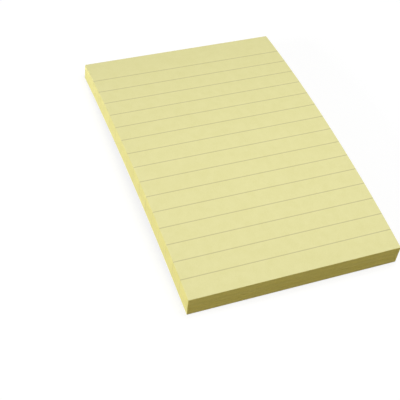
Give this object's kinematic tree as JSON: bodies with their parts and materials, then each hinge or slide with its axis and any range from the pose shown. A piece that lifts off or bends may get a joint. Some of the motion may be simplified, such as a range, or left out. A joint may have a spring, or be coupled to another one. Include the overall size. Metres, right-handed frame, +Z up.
{
  "type": "lined sticky note pad",
  "caption": "Rectangular pad of pale yellow ruled sticky notes, gummed along one short edge, bowed gently along its length, with a release-coated backing sheet.",
  "frame": {"origin": "centre of the pad's outline, at the surface it lies on", "axes": "+X across the pad, along the ruled lines; +Y along the pad, towards the gummed short edge; +Z up, out of the top note"},
  "size_m": [0.1016, 0.152, 0.014],
  "materials": {
    "note_paper": "matt uncoated pale yellow paper, with fine grey ruled lines across it",
    "backing_paper": "smooth, faintly glossy release-coated ivory paper"
  },
  "bodies": {
    "root": {"note_block": "note_paper", "backing_sheet": "backing_paper"}
  },
  "joints": []
}
